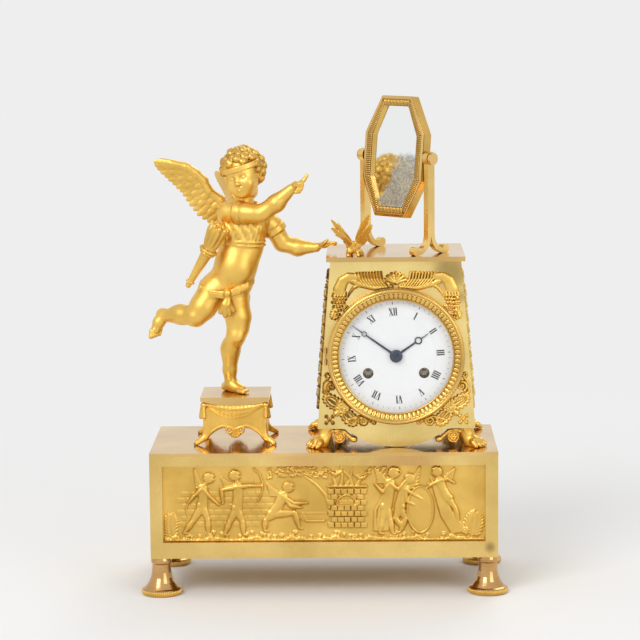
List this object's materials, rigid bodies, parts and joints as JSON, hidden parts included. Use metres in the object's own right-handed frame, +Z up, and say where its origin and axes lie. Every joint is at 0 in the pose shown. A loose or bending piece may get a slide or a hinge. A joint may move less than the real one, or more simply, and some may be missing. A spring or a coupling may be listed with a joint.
{
  "type": "mantel clock",
  "caption": "Gilt bronze mantel clock: a winged child on a stool reaches for a butterfly on the clock case, under a tilting octagonal mirror; relief base on turned feet.",
  "frame": {"origin": "middle of the base on the surface the clock stands on", "axes": "+Z up, -Y towards someone reading the dial, +X to that person's right"},
  "size_m": [0.275, 0.1272, 0.3701],
  "materials": {
    "brushed_gilt": "brushed gilt bronze",
    "polished_gilt": "burnished gilt bronze",
    "matt_gilt": "matt gilt bronze",
    "bezel_gilt": "chased gilt bronze",
    "movement_brass": "lacquered brass",
    "bell_metal": "turned bell metal",
    "steel": "polished steel",
    "blued_steel": "blued steel",
    "white_enamel": "fired enamel on copper",
    "dial_glass": "clear",
    "silvered_glass": "old silvering",
    "mirror_backing": "thin board behind the silvering"
  },
  "bodies": {
    "base": {"base_front_frame": "brushed_gilt", "base_ends": "brushed_gilt", "base_back_panel": "brushed_gilt", "base_top_plate": "polished_gilt", "base_floor": "movement_brass", "feet": "polished_gilt", "fixing_studs": "steel", "frieze_plaque": "matt_gilt", "base_end_mounts": "matt_gilt", "stool_top": "polished_gilt", "stool_body": "polished_gilt", "stool_legs": "matt_gilt", "stool_drapery": "matt_gilt", "putto_body": "matt_gilt", "putto_head": "matt_gilt", "putto_right_arm": "matt_gilt", "putto_left_arm": "matt_gilt", "wings": "matt_gilt", "quiver": "matt_gilt", "case_front_plate": "brushed_gilt", "case_back_plate": "brushed_gilt", "case_sides": "brushed_gilt", "case_top_slab": "polished_gilt", "lion_paws": "matt_gilt", "corner_mounts": "matt_gilt", "cornucopia_mounts": "matt_gilt", "side_drops": "matt_gilt", "enamel_dial": "white_enamel", "dial_plate": "movement_brass", "winding_eyelets": "movement_brass", "hinges": "polished_gilt", "movement_plates": "movement_brass", "movement_pillars": "movement_brass", "movement_straps": "movement_brass", "suspension_cock": "movement_brass", "bell": "bell_metal", "mirror_posts": "polished_gilt", "butterfly_body": "matt_gilt", "butterfly_wings": "matt_gilt"},
    "bezel": {"bezel_ring": "bezel_gilt", "dial_glass": "dial_glass"},
    "rear_door": {"rear_door": "brushed_gilt"},
    "mirror": {"mirror_frame": "bezel_gilt", "mirror_glass": "silvered_glass", "mirror_back": "mirror_backing", "mirror_pivot_screws": "polished_gilt"},
    "minute_hand_train": {"minute_hand": "blued_steel", "cannon_pinion": "movement_brass", "centre_arbor": "movement_brass"},
    "motion_wheel": {"minute_wheel": "movement_brass"},
    "hour_hand_train": {"hour_hand": "blued_steel", "hour_wheel": "movement_brass"},
    "going_barrel": {"going_barrel": "movement_brass"},
    "strike_barrel": {"strike_barrel": "movement_brass"},
    "escape_wheel": {"escape_wheel": "movement_brass"},
    "anchor": {"anchor_and_crutch": "steel"},
    "pendulum": {"pendulum": "movement_brass"},
    "hammer": {"hammer": "steel"},
    "count_wheel": {"count_wheel": "movement_brass"}
  },
  "joints": [
    {"name": "bezel_hinge", "type": "hinge", "parent": "base", "child": "bezel", "pos_m": [0.00195, -0.038, 0.178], "axis": [0, 0, 1], "range_deg": [-95, 0]},
    {"name": "rear_door_hinge", "type": "hinge", "parent": "base", "child": "rear_door", "pos_m": [0.1023, 0.0455, 0.178], "axis": [0, 0, 1], "range_deg": [-100, 0]},
    {"name": "mirror_tilt", "type": "hinge", "parent": "base", "child": "mirror", "pos_m": [0.0564, 0, 0.3245], "axis": [0.7071, -0.7071, 0], "range_deg": [-75, 75]},
    {"name": "minute_hand_turn", "type": "hinge", "parent": "base", "child": "minute_hand_train", "pos_m": [0.0547, -0.03, 0.178], "axis": [0, 1, 0], "continuous": true},
    {"name": "motion_wheel_turn", "type": "hinge", "parent": "base", "child": "motion_wheel", "pos_m": [0.0547, -0.03, 0.188], "axis": [0, 1, 0], "continuous": true},
    {"name": "hour_hand_turn", "type": "hinge", "parent": "base", "child": "hour_hand_train", "pos_m": [0.0547, -0.03, 0.178], "axis": [0, 1, 0], "continuous": true},
    {"name": "going_barrel_turn", "type": "hinge", "parent": "base", "child": "going_barrel", "pos_m": [0.0337, -0.02, 0.1648], "axis": [0, 1, 0], "continuous": true},
    {"name": "strike_barrel_turn", "type": "hinge", "parent": "base", "child": "strike_barrel", "pos_m": [0.0757, -0.02, 0.1648], "axis": [0, 1, 0], "continuous": true},
    {"name": "escape_wheel_turn", "type": "hinge", "parent": "base", "child": "escape_wheel", "pos_m": [0.0547, 0, 0.1985], "axis": [0, 1, 0], "continuous": true},
    {"name": "pendulum_swing", "type": "hinge", "parent": "base", "child": "pendulum", "pos_m": [0.0547, 0.0204, 0.212], "axis": [0, 1, 0], "range_deg": [-3, 3]},
    {"name": "anchor_swing", "type": "hinge", "parent": "base", "child": "anchor", "pos_m": [0.0547, 0.01, 0.212], "axis": [0, 1, 0], "range_deg": [-3, 3]},
    {"name": "hammer_swing", "type": "hinge", "parent": "base", "child": "hammer", "pos_m": [0.0327, 0.01, 0.148], "axis": [0, 1, 0], "range_deg": [-12, 0], "stiffness_Nm_per_rad": 0.01, "springref_deg": 17.19},
    {"name": "count_wheel_turn", "type": "hinge", "parent": "base", "child": "count_wheel", "pos_m": [0.0327, 0.01, 0.192], "axis": [0, 1, 0], "continuous": true}
  ],
  "couplings": [
    {"joint": "motion_wheel_turn", "follows": "minute_hand_turn", "ratio": -0.33333},
    {"joint": "hour_hand_turn", "follows": "minute_hand_turn", "ratio": 0.083333},
    {"joint": "anchor_swing", "follows": "pendulum_swing", "ratio": 1}
  ]
}
